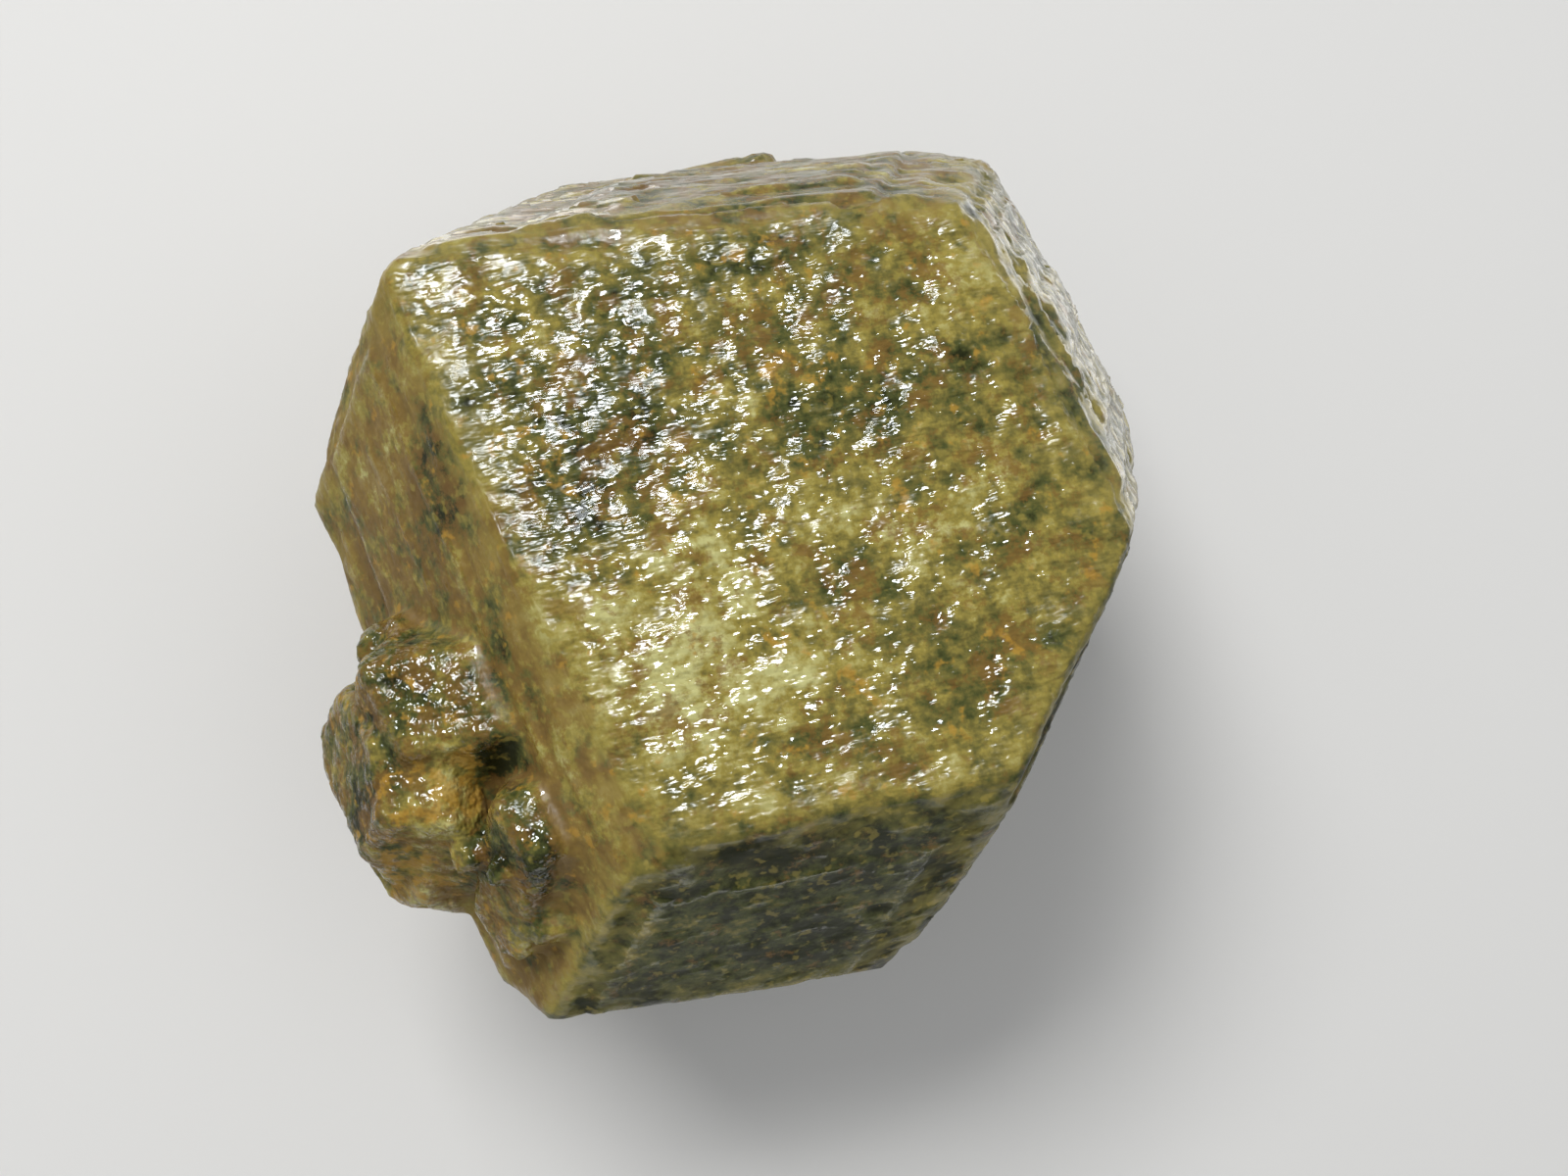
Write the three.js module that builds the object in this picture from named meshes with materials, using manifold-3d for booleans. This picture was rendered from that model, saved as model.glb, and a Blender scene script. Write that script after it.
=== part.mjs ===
// A garnet crystal: one blocky rhombic dodecahedron with a group of small crystals grown into its west side.
// Millimetres, +Z up. It lies on one face, with the opposite face level on top. The origin is under the
// middle of its bounding box, on the surface that it lies on. +X runs along the top face's north edge.
import * as THREE from "three";
import { ConvexGeometry } from "three/addons/geometries/ConvexGeometry.js";
import { SimplexNoise } from "three/addons/math/SimplexNoise.js";
import { TessellateModifier } from "three/addons/modifiers/TessellateModifier.js";
import { mergeVertices } from "three/addons/utils/BufferGeometryUtils.js";
import Module from "manifold-3d";

const wasm = await Module();
wasm.setup();

// The twelve faces of the large crystal. Azimuth is the direction that a face looks to, anticlockwise from
// +X, and slope is how far it looks up, both in degrees. Distance is from the crystal's middle. A perfect
// crystal has slopes of 0, 30 and 90 and one distance. This one leans by up to three degrees.
const CRYSTAL_FACES = {
  top: { azimuth: 0, slope: 90, distance: 23.9 },
  base: { azimuth: 0, slope: -90, distance: 25.3 },
  north_upper: { azimuth: 90, slope: 32, distance: 26.4 },
  east_upper: { azimuth: 18.5, slope: 28.5, distance: 29.4 },
  south_upper: { azimuth: -87, slope: 29.5, distance: 32.5 },
  west_upper: { azimuth: -162.5, slope: 32.5, distance: 27.4 },
  south_east: { azimuth: -34, slope: -0.5, distance: 24.5 },
  north_west: { azimuth: 142, slope: 4, distance: 29.1 },
  north_lower: { azimuth: 90, slope: -29.5, distance: 29.4 },
  east_lower: { azimuth: 19.5, slope: -31.5, distance: 26.7 },
  south_lower: { azimuth: -93.5, slope: -31, distance: 27.4 },
  west_lower: { azimuth: -167, slope: -27.5, distance: 24.6 },
};

// Where the crystal is worn past its plain edges: the south half of the top's west edge, and the corner
// below it.
const WORN_FLATS = {
  west_shoulder: { azimuth: -155.5, slope: 61, distance: 28.9 },
  south_west_corner: { azimuth: -130, slope: 4, distance: 38.2 },
};

// Each face is a little domed: towards each edge it falls away by a few degrees, and the edge is worn.
const DOME_LEAN = 5; // degrees
const DOME_RIM = 3.6;
const EDGE_WEAR = 1.5;
const EDGE_WEAR_SMALL = 0.7;

// Growth ledges on each face: how many levels, how high each one rises, and how far it draws back from the
// face's sides. Crowded sides are the ones that the ledges lie close along.
const LEDGES = {
  north_upper: { levels: 4, rise: 0.32, back: 3.0, crowded: ["top"] },
  east_upper: { levels: 4, rise: 0.34, back: 2.8, crowded: ["top"] },
  south_upper: { levels: 1, rise: 0.34, back: 5, crowded: ["south_lower"] },
  west_upper: { levels: 1, rise: 0.3, back: 5.4, crowded: ["north_west"] },
  south_east: { levels: 3, rise: 0.34, back: 3.0, crowded: ["south_upper"] },
  north_west: { levels: 3, rise: 0.32, back: 3.2, crowded: ["west_upper"] },
  north_lower: { levels: 2, rise: 0.4, back: 3.6, crowded: ["north_upper"] },
  east_lower: { levels: 2, rise: 0.4, back: 3.6, crowded: ["south_east"] },
  south_lower: { levels: 2, rise: 0.36, back: 3.6, crowded: ["west_lower"] },
  west_lower: { levels: 2, rise: 0.36, back: 3.4, crowded: ["north_lower"] },
};
const PLATES_PER_LEVEL = 2;
const CROWDED_BACK = 1.1;
const RAGGED_BACK = [0.5, 1.4]; // shares of the distance that a plate's sides draw back
const LOW_PLATE = [0.05, 0.3]; // shares of a rise that a plate stands lower than its level
const LEDGE_LEAN = 28; // degrees that a ledge's riser leans in
const LEDGE_ROOT = 0.9;

// The uneven skin of the faces: lumps and hollows of these lengths along X, Y and Z, and their height. The
// skin's triangles are halved, by so many passes at most, until no side is longer than its step. The base
// stays flat, and what is near its rim stays above it by the clearance.
const SKIN = { lump: new THREE.Vector3(5.2, 3.6, 3.6), height: 0.34, step: 5.1, passes: 12 };
const BASE_CLEARANCE = 0.02;

// Etched pits on each face. Reach is half a pit's length, width and depth are shares of that, and open is how
// far a pit's mouth stands over the face.
const PITS = { perFace: 3, margin: 2.4, reach: [0.7, 1.6], width: [0.5, 0.9], depth: [0.25, 0.45], open: 2 };

// The long ridges of the west face, which run beside the top's west edge and stop short of the face's sides.
const RIDGES = {
  face: "west_upper",
  along: "top",
  count: 5,
  length: [5, 10],
  width: [0.5, 0.9],
  rise: [0.4, 0.8],
  short: 4,
};
const RIDGE_LEAN = 52; // degrees that a ridge's sides lean in

// The small crystals. Place is from the large crystal's middle, size is from a small crystal's middle to its
// faces, turn is a few degrees about X, Y and Z from the large crystal's position, and grown names the faces
// that stand at another distance. Worn is one more flat, which takes a corner off.
const SMALL_CRYSTALS = {
  upper: {
    place: [-20.5, -12, 7],
    size: 8.6,
    turn: [2, -5, 3],
    grown: {
      top: 11.3,
      base: 12,
      west_upper: 9.8,
      north_west: 7.4,
      east_upper: 9,
      south_upper: 8.4,
      west_lower: 9,
    },
  },
  left: {
    place: [-23.8, -15.8, 4.8],
    size: 7.8,
    turn: [5, -7, -15],
    grown: { top: 11.6, base: 9, north_west: 8.8, west_upper: 8, south_upper: 8.6, south_lower: 7.8 },
    worn: { azimuth: -138, slope: 6, distance: 7.6 },
  },
  low: {
    place: [-24.6, -20.6, 3.4],
    size: 5,
    turn: [-4, 3, 10],
    grown: { top: 9, base: 8 },
    worn: { azimuth: -120, slope: 0, distance: 5.2 },
  },
  right: {
    place: [-17.3, -21.8, 10],
    size: 6.6,
    turn: [-2, -4, 12],
    grown: { top: 9.2, base: 7, south_east: 5, north_west: 3, west_upper: 5.4, east_upper: 7.6 },
    worn: { azimuth: 4, slope: 30, distance: 6.6 },
  },
  knob: { place: [-26.8, -7.4, 10.2], size: 1.9, turn: [10, -8, 20], grown: {} },
  north_bump: {
    place: [3, 30.9, -2.9],
    size: 2.5,
    turn: [6, 0, 6],
    grown: {
      east_upper: 4.4,
      east_lower: 4.6,
      west_upper: 4.8,
      west_lower: 4.4,
      north_west: 5,
      south_east: 4,
    },
  },
};

// The knobs on the larger of them: their size, which way from a crystal's middle they stand, how far out as a
// share of its size, and how far they may turn about X and Y.
const KNOBBED = ["upper", "left", "low", "right"];
const KNOBS = {
  perCrystal: 4,
  size: [0.7, 1.3],
  azimuth: [-260, -80],
  slope: [-20, 75],
  out: [0.9, 1.05],
  turn: [-20, 20],
};

// How far what stands on the faces may reach past them, and past the worn edges.
const REACH_PAST_FACES = 1.7;
const REACH_PAST_EDGES = 0.6;

const SHORTEST_EDGE = 0.5; // edges below this aren't worn
const SEED = 2731;

/** A repeatable source of numbers from 0 to 1. */
function seeded(seed) {
  let state = seed;
  return () => {
    state = (state * 16807) % 2147483647;
    return state / 2147483647;
  };
}

const random = seeded(SEED);
const noise = new SimplexNoise({ random });

/** A random number between two limits. */
function between([low, high]) {
  return low + (high - low) * random();
}

/** The outward direction of a face that looks to an azimuth and up by a slope. */
function direction(azimuth, slope) {
  const turn = THREE.MathUtils.degToRad(azimuth);
  const lift = THREE.MathUtils.degToRad(slope);
  return new THREE.Vector3(Math.cos(lift) * Math.cos(turn), Math.cos(lift) * Math.sin(turn), Math.sin(lift));
}

/** The faces as planes: { name, normal, distance }. */
function planesOf(faces) {
  return Object.entries(faces).map(([name, f]) => ({
    name,
    normal: direction(f.azimuth, f.slope),
    distance: f.distance,
  }));
}

/** The corners of the solid that all planes bound, each with the names of the planes that meet there. */
function cornersOf(planes) {
  const corners = [];
  const matrix = new THREE.Matrix3();
  planes.forEach((a, i) =>
    planes.slice(i + 1).forEach((b, j) =>
      planes.slice(i + j + 2).forEach((c) => {
        matrix.set(...a.normal.toArray(), ...b.normal.toArray(), ...c.normal.toArray());
        if (Math.abs(matrix.determinant()) < 1e-4) return;
        const at = new THREE.Vector3(a.distance, b.distance, c.distance).applyMatrix3(matrix.invert());
        if (planes.some((p) => p.normal.dot(at) > p.distance + 1e-5)) return;
        corners.push({ at, names: [a.name, b.name, c.name] });
      }),
    ),
  );
  return corners;
}

/** The pairs of planes that share an edge, with the point in the middle of that edge. */
function edgesOf(planes) {
  const corners = cornersOf(planes);
  const edges = [];
  planes.forEach((a, i) =>
    planes.slice(i + 1).forEach((b) => {
      const shared = corners.filter((c) => c.names.includes(a.name) && c.names.includes(b.name));
      if (shared.length < 2) return;
      const [first, last] = [shared[0].at, shared[shared.length - 1].at];
      if (first.distanceTo(last) < SHORTEST_EDGE) return;
      edges.push({ a, b, middle: first.clone().add(last).multiplyScalar(0.5) });
    }),
  );
  return edges;
}

/** A closed mesh as a manifold solid. */
function solidOf(geometry) {
  const bare = geometry.clone();
  bare.deleteAttribute("normal");
  bare.deleteAttribute("uv");
  const merged = mergeVertices(bare, 1e-4);
  return new wasm.Manifold(
    new wasm.Mesh({
      numProp: 3,
      vertProperties: new Float32Array(merged.attributes.position.array),
      triVerts: new Uint32Array(merged.index.array),
    }),
  );
}

/** The convex solid round some points. */
function hullOf(points) {
  return solidOf(new ConvexGeometry(points));
}

/** The convex solid that some planes bound. */
function solidWithin(planes) {
  return hullOf(cornersOf(planes).map((c) => c.at));
}

/** The corners of a geometry. */
function pointsOf(geometry) {
  const { array, count } = geometry.attributes.position;
  return Array.from({ length: count }, (_, i) => new THREE.Vector3().fromArray(array, 3 * i));
}

/** The plane that cuts an edge to a flat of the given width. */
function wornEdge({ a, b, middle }, width) {
  const normal = a.normal.clone().add(b.normal).normalize();
  const depth = (width / 2) * Math.tan(a.normal.angleTo(b.normal) / 2);
  return { name: `${a.name}|${b.name}`, normal, distance: normal.dot(middle) - depth };
}

/** The plane that leans from a face towards its neighbour, starting a rim's width from their edge. */
function domedRim(face, neighbour, middle) {
  const axis = face.normal.clone().cross(neighbour.normal).normalize();
  const normal = face.normal.clone().applyAxisAngle(axis, THREE.MathUtils.degToRad(DOME_LEAN));
  const inward = axis.clone().cross(face.normal).multiplyScalar(-DOME_RIM);
  return { name: `${face.name}>${neighbour.name}`, normal, distance: normal.dot(middle.clone().add(inward)) };
}

/** The large crystal without what stands on its faces. The base is left flat. */
function plainCrystal() {
  const planes = planesOf({ ...CRYSTAL_FACES, ...WORN_FLATS });
  const worn = edgesOf(planes).map((e) => wornEdge(e, EDGE_WEAR));
  const rims = edgesOf(planesOf(CRYSTAL_FACES)).flatMap(({ a, b, middle }) =>
    [a, b].filter((face) => face.name !== "base").map((face) => domedRim(face, face === a ? b : a, middle)),
  );
  return solidWithin([...planes, ...rims, ...worn]);
}

/** The space that the large crystal's ledges and ridges stay in, so that none overhangs an edge or the base. */
function envelope() {
  const planes = planesOf({ ...CRYSTAL_FACES, ...WORN_FLATS });
  const worn = edgesOf(planes).map((e) => wornEdge(e, EDGE_WEAR));
  const moved = (plane, reach) => ({ ...plane, distance: plane.distance + reach });
  const out = planes.map((p) => (p.name === "base" ? p : moved(p, REACH_PAST_FACES)));
  return solidWithin([...out, ...worn.map((w) => moved(w, REACH_PAST_EDGES))]);
}

/** The sides of a face: each neighbour, the direction to it along the face, and a point on their edge. */
function sidesOf(face, edges) {
  return edges
    .filter(({ a, b }) => a === face || b === face)
    .map(({ a, b, middle }) => {
      const neighbour = a === face ? b : a;
      const along = neighbour.normal.clone().projectOnPlane(face.normal).normalize();
      return { name: neighbour.name, along, middle };
    });
}

/** A low flat block on a face. Each wall is { along, at }, and leans in by some degrees as it rises. */
function blockOn(face, walls, low, high, lean) {
  const tilt = THREE.MathUtils.degToRad(lean);
  const sides = walls.map(({ along, at }, i) => {
    const normal = along.clone().multiplyScalar(Math.cos(tilt)).addScaledVector(face.normal, Math.sin(tilt));
    return { name: `side ${i}`, normal, distance: normal.dot(at) };
  });
  const ceiling = { name: "ceiling", normal: face.normal, distance: face.distance + high };
  const floor = { name: "floor", normal: face.normal.clone().negate(), distance: -(face.distance + low) };
  return solidWithin([ceiling, floor, ...sides]);
}

/** The growth ledges of a face. Overlapping plates with different borders make each level's ragged outline. */
function ledgesOn(face, sides, { levels, rise, back, crowded }) {
  return Array.from({ length: levels * PLATES_PER_LEVEL }, (_, i) => {
    const level = Math.floor(i / PLATES_PER_LEVEL) + 1;
    const walls = sides.map(({ name, along, middle }) => {
      const inset = level * between(RAGGED_BACK) * (crowded.includes(name) ? CROWDED_BACK : back);
      return { along, at: middle.clone().addScaledVector(along, -inset) };
    });
    const height = rise * (level - between(LOW_PLATE));
    return blockOn(face, walls, -LEDGE_ROOT, height, LEDGE_LEAN);
  });
}

/** A random spot on a face, kept a margin's width from its sides. */
function spotOn(face, sides, margin) {
  const middle = sides.reduce((sum, s) => sum.add(s.middle), new THREE.Vector3()).divideScalar(sides.length);
  const across = sides[0].along.clone().cross(face.normal);
  const reach = Math.max(...sides.map((s) => s.middle.distanceTo(middle)));
  for (;;) {
    const spot = middle
      .clone()
      .addScaledVector(sides[0].along, between([-reach, reach]))
      .addScaledVector(across, between([-reach, reach]));
    if (sides.every((s) => s.along.dot(s.middle) - s.along.dot(spot) > margin)) return spot;
  }
}

/** What cuts the pits of a face: low lumps with open mouths. */
function pitsIn(face, sides, height) {
  const [grain, across] = [sides[0].along.clone().cross(face.normal), sides[0].along.clone().negate()];
  return Array.from({ length: PITS.perFace }, () => {
    const reach = between(PITS.reach);
    const lump = new THREE.IcosahedronGeometry(1, 0);
    lump.rotateX(between([0, Math.PI])).rotateZ(between([0, Math.PI]));
    lump.scale(reach, reach * between(PITS.width), reach * between(PITS.depth));
    const spot = spotOn(face, sides, PITS.margin).addScaledVector(face.normal, height);
    lump.applyMatrix4(new THREE.Matrix4().makeBasis(grain, across, face.normal).setPosition(spot));
    const points = pointsOf(lump);
    return hullOf([...points, ...points.map((p) => p.clone().addScaledVector(face.normal, PITS.open))]);
  });
}

/** The long low ridges that run beside one edge of a face. */
function ridgesOn(planes, edges) {
  const face = planes.find((p) => p.name === RIDGES.face);
  const sides = sidesOf(face, edges);
  const across = sides.find((s) => s.name === RIDGES.along).along;
  const length = across.clone().cross(face.normal);
  return Array.from({ length: RIDGES.count }, () => {
    const spot = spotOn(face, sides, RIDGES.short);
    const walls = [1, -1].flatMap((sign) => [
      { along: across.clone().multiplyScalar(sign), reach: between(RIDGES.width) },
      { along: length.clone().multiplyScalar(sign), reach: between(RIDGES.length) },
    ]);
    const wallAt = ({ along }, from, reach) => ({ along, at: from.clone().addScaledVector(along, reach) });
    const round = walls.map((w) => wallAt(w, spot, w.reach));
    const ends = sides.map((s) => wallAt(s, s.middle, -RIDGES.short));
    return blockOn(face, [...round, ...ends], -LEDGE_ROOT, between(RIDGES.rise), RIDGE_LEAN);
  });
}

/** One small crystal, in nearly the same position as the large one, with its edges worn if it isn't tiny. */
function smallCrystal({ place, size, turn, grown, worn }, wear = EDGE_WEAR_SMALL) {
  const planes = planesOf({ ...CRYSTAL_FACES, ...(worn && { worn }) }).map((plane) =>
    plane.name === "worn" ? plane : { ...plane, distance: grown[plane.name] ?? size },
  );
  const flats = wear ? edgesOf(planes).map((e) => wornEdge(e, wear)) : [];
  const pose = new THREE.Matrix4()
    .makeRotationFromEuler(new THREE.Euler(...turn.map(THREE.MathUtils.degToRad)))
    .setPosition(...place);
  return hullOf(cornersOf([...planes, ...flats]).map((c) => c.at.applyMatrix4(pose)));
}

/** The knobs that stand out of a small crystal. */
function knobsOn({ place, size }) {
  return Array.from({ length: KNOBS.perCrystal }, () => {
    const way = direction(between(KNOBS.azimuth), between(KNOBS.slope));
    const spot = new THREE.Vector3(...place).addScaledVector(way, size * between(KNOBS.out));
    const knob = { place: spot.toArray(), size: between(KNOBS.size) };
    return smallCrystal({ ...knob, turn: [between(KNOBS.turn), between(KNOBS.turn), 0], grown: {} }, 0);
  });
}

/** A geometry with its surface broken into small triangles and moved in and out by smooth noise. */
function unevenSkin(geometry) {
  const fine = new TessellateModifier(SKIN.step, SKIN.passes).modify(geometry.toNonIndexed());
  fine.deleteAttribute("normal");
  const skin = mergeVertices(fine, 1e-4);
  skin.computeVertexNormals();
  const { position, normal } = skin.attributes;
  const floor = -CRYSTAL_FACES.base.distance;
  const [at, out] = [new THREE.Vector3(), new THREE.Vector3()];
  for (let i = 0; i < position.count; i++) {
    at.fromBufferAttribute(position, i);
    if (at.z < floor + BASE_CLEARANCE / 2) continue;
    out.fromBufferAttribute(normal, i);
    const place = at.clone().divide(SKIN.lump);
    const height = SKIN.height * noise.noise3d(place.x, place.y, place.z);
    at.addScaledVector(out, height);
    position.setXYZ(i, at.x, at.y, Math.max(at.z, floor + BASE_CLEARANCE));
  }
  return skin;
}

/** The whole specimen as one solid, about the large crystal's middle. */
function specimen() {
  const planes = planesOf(CRYSTAL_FACES);
  const edges = edgesOf(planes);
  const raised = ridgesOn(planes, edges);
  const pits = [];
  for (const face of planes.filter((p) => LEDGES[p.name])) {
    const sides = sidesOf(face, edges);
    const ledges = LEDGES[face.name];
    raised.push(...ledgesOn(face, sides, ledges));
    pits.push(...pitsIn(face, sides, ledges.levels * ledges.rise));
  }
  const skin = solidOf(unevenSkin(geometryOf(plainCrystal())));
  const large = [skin, ...raised].reduce((sum, piece) => sum.add(piece)).intersect(envelope());
  const pitted = pits.reduce((left, pit) => left.subtract(pit), large);
  const small = Object.values(SMALL_CRYSTALS).map((c) => smallCrystal(c));
  const knobs = KNOBBED.flatMap((name) => knobsOn(SMALL_CRYSTALS[name]));
  return [...small, ...knobs].reduce((sum, piece) => sum.add(piece), pitted);
}

/** A manifold solid as three.js geometry. */
function geometryOf(solid) {
  const mesh = solid.getMesh();
  const geometry = new THREE.BufferGeometry();
  geometry.setAttribute("position", new THREE.BufferAttribute(new Float32Array(mesh.vertProperties), 3));
  geometry.setIndex(new THREE.BufferAttribute(new Uint32Array(mesh.triVerts), 1));
  geometry.computeVertexNormals();
  return geometry;
}

const garnet = new THREE.Mesh(
  geometryOf(specimen()),
  new THREE.MeshStandardMaterial({ color: 0x6b6128, roughness: 0.25, metalness: 0, flatShading: true }),
);
garnet.name = "garnet_crystal";
garnet.geometry.computeBoundingBox();
const { min, max } = garnet.geometry.boundingBox;
garnet.position.set(-(min.x + max.x) / 2, -(min.y + max.y) / 2, -min.z);

const group = new THREE.Group();
group.add(garnet);
export default group;
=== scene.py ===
"""A garnet crystal with small crystals grown into its side, glossy as when rinsed, on a pale floor.

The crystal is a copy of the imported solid, with the fine growth relief of each face raised on it: cobbled on
the top, ledged on the north, terraced on the east, wavy on the south, streaked on the west and knobbly on the
small crystals. One procedural finish colours it.
"""
import logging
import math
from dataclasses import dataclass, field, fields
from enum import Enum
from typing import Any

import bpy
import numpy as np
from mathutils import Matrix, Vector

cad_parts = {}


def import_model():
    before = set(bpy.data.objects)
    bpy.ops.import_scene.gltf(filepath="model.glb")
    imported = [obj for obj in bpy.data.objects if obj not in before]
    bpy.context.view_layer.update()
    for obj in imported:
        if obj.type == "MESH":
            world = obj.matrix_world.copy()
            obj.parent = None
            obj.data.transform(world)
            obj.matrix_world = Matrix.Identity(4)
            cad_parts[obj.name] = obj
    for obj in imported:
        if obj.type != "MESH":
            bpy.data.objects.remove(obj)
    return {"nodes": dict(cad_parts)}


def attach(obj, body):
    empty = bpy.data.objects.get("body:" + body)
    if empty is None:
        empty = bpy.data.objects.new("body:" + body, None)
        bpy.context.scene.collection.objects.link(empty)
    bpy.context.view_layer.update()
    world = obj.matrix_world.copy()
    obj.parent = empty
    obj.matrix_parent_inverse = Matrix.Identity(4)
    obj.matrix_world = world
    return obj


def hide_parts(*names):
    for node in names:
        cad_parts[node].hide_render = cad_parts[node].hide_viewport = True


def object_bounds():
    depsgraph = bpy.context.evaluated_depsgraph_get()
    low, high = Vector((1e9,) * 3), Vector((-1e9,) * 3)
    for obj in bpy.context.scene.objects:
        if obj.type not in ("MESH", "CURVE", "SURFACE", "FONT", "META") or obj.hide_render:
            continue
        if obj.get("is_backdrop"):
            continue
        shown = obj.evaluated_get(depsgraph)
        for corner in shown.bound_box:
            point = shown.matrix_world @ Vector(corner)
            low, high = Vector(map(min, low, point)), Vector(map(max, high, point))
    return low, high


MM = 0.001
NODE = "garnet_crystal"
MIDDLE = Vector((0.26, 0.25, 25.3)) * MM  # the large crystal's middle, which its faces are set out from

log = logging.getLogger("garnet")

Colour = tuple[float, float, float, float]


def paint(red: int, green: int, blue: int) -> Colour:
    """A colour from its three screen values. Its curve holds from 11 up, and no colour here goes lower.

    Args:
        red: 11 to 255.
        green: 11 to 255.
        blue: 11 to 255.

    Returns:
        The colour as linear light, with an alpha of 1.
    """
    linear = [((v / 255 + 0.055) / 1.055) ** 2.4 for v in (red, green, blue)]
    return (*linear, 1.0)


def ramp(values: np.ndarray, low: float, high: float) -> np.ndarray:
    """Values eased from 0 at low to 1 at high.

    Args:
        values: the values.
        low: where the result is 0.
        high: where the result is 1.

    Returns:
        The eased values.
    """
    share = np.clip((values - low) / (high - low), 0, 1)
    return share * share * (3 - 2 * share)


def direction_of(azimuth: float) -> tuple[float, float, float]:
    """The level direction at an azimuth.

    Args:
        azimuth: in degrees, anticlockwise from +X.

    Returns:
        The direction, with a length of 1.
    """
    turn = math.radians(azimuth)
    return (math.cos(turn), math.sin(turn), 0)


def aimed(azimuth: float, slope: float) -> Vector:
    """The direction at an azimuth and a slope.

    Args:
        azimuth: in degrees, anticlockwise from +X.
        slope: in degrees over the level.

    Returns:
        The direction, with a length of 1.
    """
    lift = math.radians(slope)
    return Vector(direction_of(azimuth)) * math.cos(lift) + Vector((0, 0, math.sin(lift)))


def read_vectors(mesh: bpy.types.Mesh, name: str) -> np.ndarray:
    """Reads one vector for each vertex of a mesh.

    Args:
        mesh: the mesh.
        name: "co" for the vertices' places, or "normal" for their outward directions.

    Returns:
        The vectors, as the rows of an array.
    """
    flat = np.empty(len(mesh.vertices) * 3, np.float32)
    mesh.vertices.foreach_get(name, flat)
    return flat.reshape(-1, 3)


class Growth(Enum):
    """How a face grew, which decides its relief and its finish."""

    COBBLED = "cobbled"
    LEDGED = "ledged"
    TERRACED = "terraced"
    STREAKED = "streaked"
    WAVY = "wavy"
    KNOBBLY = "knobbly"


@dataclass(frozen=True)
class Face:
    """One face of the large crystal.

    Azimuth and slope are where it looks, in degrees, and distance is millimetres from the crystal's middle.
    Along names the neighbour whose edge its grain runs beside, and turn is the angle in degrees between them.
    """

    azimuth: float
    slope: float
    distance: float
    growth: Growth
    along: str
    turn: float = 0

    def normal(self) -> Vector:
        """The outward direction."""
        return aimed(self.azimuth, self.slope)

    def grain(self) -> Matrix:
        """The directions of the face's growth.

        Returns:
            The directions along the grain, across it and out of the face, as the rows of a matrix.
        """
        out = self.normal()
        along = out.cross(FACES[self.along].normal()).normalized()
        if along.x < 0:
            along.negate()
        along = Matrix.Rotation(math.radians(self.turn), 3, out) @ along
        return Matrix((along, out.cross(along), out))


FACES: dict[str, Face] = {
    "top": Face(0, 90, 23.9, Growth.COBBLED, "north_upper", 5),
    "base": Face(0, -90, 25.3, Growth.COBBLED, "north_lower"),
    "north_upper": Face(90, 32, 26.4, Growth.LEDGED, "top"),
    "east_upper": Face(18.5, 28.5, 29.4, Growth.TERRACED, "top"),
    "south_upper": Face(-87, 29.5, 32.5, Growth.WAVY, "top"),
    "west_upper": Face(-162.5, 32.5, 27.4, Growth.STREAKED, "top"),
    "south_east": Face(-34, -0.5, 24.5, Growth.WAVY, "east_upper"),
    "north_west": Face(142, 4, 29.1, Growth.STREAKED, "north_upper"),
    "north_lower": Face(90, -29.5, 29.4, Growth.LEDGED, "base"),
    "east_lower": Face(19.5, -31.5, 26.7, Growth.WAVY, "base"),
    "south_lower": Face(-93.5, -31, 27.4, Growth.WAVY, "base"),
    "west_lower": Face(-167, -27.5, 24.6, Growth.STREAKED, "base"),
}
FACE_BLEND = 0.35  # how gradually one face's marks give way to the next one's, in millimetres

# The small crystals: a group towards one azimuth, in degrees, and a lone one on the north side. Lengths are
# millimetres: rises from the large crystal's faces, the lone one's ends from its own middle, and the others
# from the large one's middle. Each pair is where the change from one crystal to the other starts and ends.
SMALL = "small"
GROUP_AZIMUTH = -150
GROUP_STARTS = (10, 14)
GROUP_RISES = (0.9, 1.6)
LONE_MIDDLE = (3, 30.9, -2.9)
LONE_ENDS = (6, 7.5)
LONE_RISES = (0.5, 1.2)

# Blender's own textures, in their units
CLOUD_SCALE = 0.5
CLOUD_CONTRAST = 1.6
BAND_WAVES = 0.4
BAND_REPEAT = math.tau / 10  # along the sum of the three coordinates

# The Mix node's sockets for colours, by number, because others have the same names
MIX_SHARE = 0
MIX_UNDER = 6
MIX_OVER = 7
MIXED = 2


class Pattern(Enum):
    """The textures that relief is raised with."""

    LUMPS = "CLOUDS"
    COBBLES = "VORONOI"
    BANDS = "WOOD"


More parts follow.
